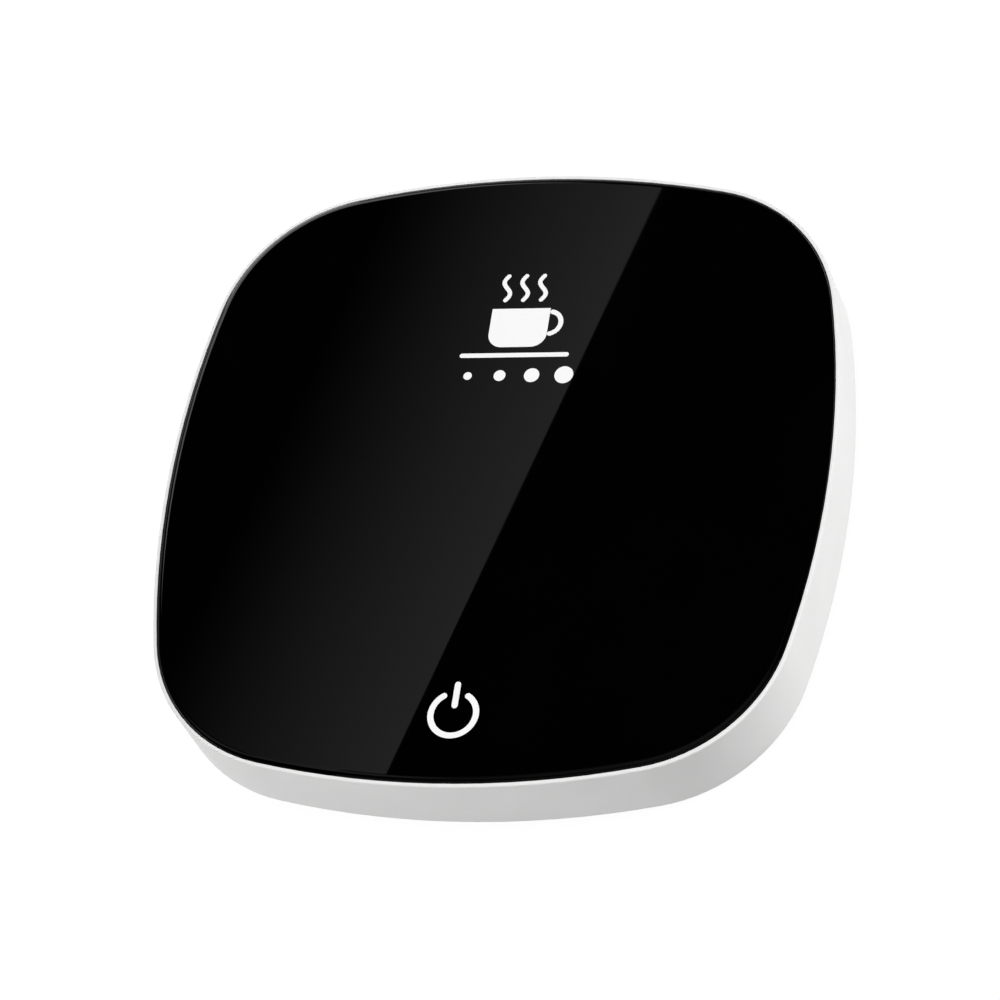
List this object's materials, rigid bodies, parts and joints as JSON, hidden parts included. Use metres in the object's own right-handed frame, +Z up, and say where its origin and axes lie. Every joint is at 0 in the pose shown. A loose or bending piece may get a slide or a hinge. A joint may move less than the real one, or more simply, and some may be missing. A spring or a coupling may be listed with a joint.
{
  "type": "mug warmer",
  "caption": "Low rounded-square electric mug warmer: white shell, black glass hot plate that sinks slightly on springs and works a switch.",
  "frame": {"origin": "centre of the footprint, on the surface that the feet stand on", "axes": "+Z up, out of the glass; +Y towards the power socket at the rear; -Y towards the indicator mark at the front"},
  "size_m": [0.1172, 0.1172, 0.017],
  "materials": {
    "shell_white": "satin moulded",
    "cover_white": "fine texture",
    "screw_steel": "zinc plated",
    "black_glass": "polished, black printed back",
    "black_adhesive": "foam tape",
    "tray_plastic": "glass-filled",
    "spreader_aluminium": "milled",
    "heater_film": "polyimide film",
    "heater_foil": "etched foil",
    "felt": "needled",
    "plate_steel": "pressed",
    "glass_bead": "epoxy",
    "fuse_body": "ceramic case",
    "lead_red": "silicone sleeve",
    "lead_white": "silicone sleeve",
    "lead_black": "sleeve",
    "circuit_board": "solder mask",
    "socket_steel": "drawn",
    "black_plastic": "moulded",
    "contact_gold": "gold plated",
    "stem_plastic": "moulded",
    "spring_steel": "bright wire",
    "capacitor_ceramic": "fired",
    "connector_white": "moulded",
    "led_yellow": "cast",
    "clear_guide": "polished acrylic",
    "rubber_grey": "moulded"
  },
  "bodies": {
    "base": {"outer_shell": "shell_white", "base_cover": "cover_white", "cover_screws": "screw_steel", "heater_lead_live": "lead_red", "heater_lead_return": "lead_white", "sensor_leads": "lead_black", "control_board": "circuit_board", "board_screws": "screw_steel", "socket_shell": "socket_steel", "socket_tongue": "black_plastic", "socket_contacts": "contact_gold", "switch_base": "black_plastic", "switch_cover": "socket_steel", "switch_dome": "spring_steel", "controller_chip": "black_plastic", "power_transistor": "black_plastic", "chip_capacitors": "capacitor_ceramic", "chip_resistors": "black_plastic", "heater_connector": "connector_white", "sensor_connector": "connector_white", "indicator_board": "circuit_board", "indicator_leds": "led_yellow", "light_guide": "clear_guide", "indicator_leads": "lead_black", "spring_front_left": "spring_steel", "spring_front_right": "spring_steel", "spring_rear_left": "spring_steel", "spring_rear_right": "spring_steel", "foot_front_left": "rubber_grey", "foot_front_right": "rubber_grey", "foot_rear_left": "rubber_grey", "foot_rear_right": "rubber_grey"},
    "hotplate": {"glass_panel": "black_glass", "glass_adhesive": "black_adhesive", "carrier_tray": "tray_plastic", "heat_spreader": "spreader_aluminium", "heater_film": "heater_film", "heater_track": "heater_foil", "insulation_felt": "felt", "clamp_plate": "plate_steel", "clamp_screws": "screw_steel", "post_washers": "screw_steel", "post_screws": "screw_steel", "thermistor": "glass_bead", "thermal_fuse": "fuse_body"},
    "switch_stem": {"switch_stem": "stem_plastic"}
  },
  "joints": [
    {"name": "plate_press", "type": "slide", "parent": "base", "child": "hotplate", "axis": [0, 0, 1], "range_m": [-0.0006, 0], "stiffness_N_per_m": 2000, "springref_m": 0.00125, "deforming": ["spring_front_left", "spring_front_right", "spring_rear_left", "spring_rear_right", "heater_lead_live", "heater_lead_return", "sensor_leads"]},
    {"name": "stem_press", "type": "slide", "parent": "base", "child": "switch_stem", "axis": [0, 0, 1], "range_m": [-0.0006, 0], "deforming": ["switch_dome"]}
  ],
  "couplings": [
    {"joint": "stem_press", "follows": "plate_press", "ratio": 1}
  ]
}
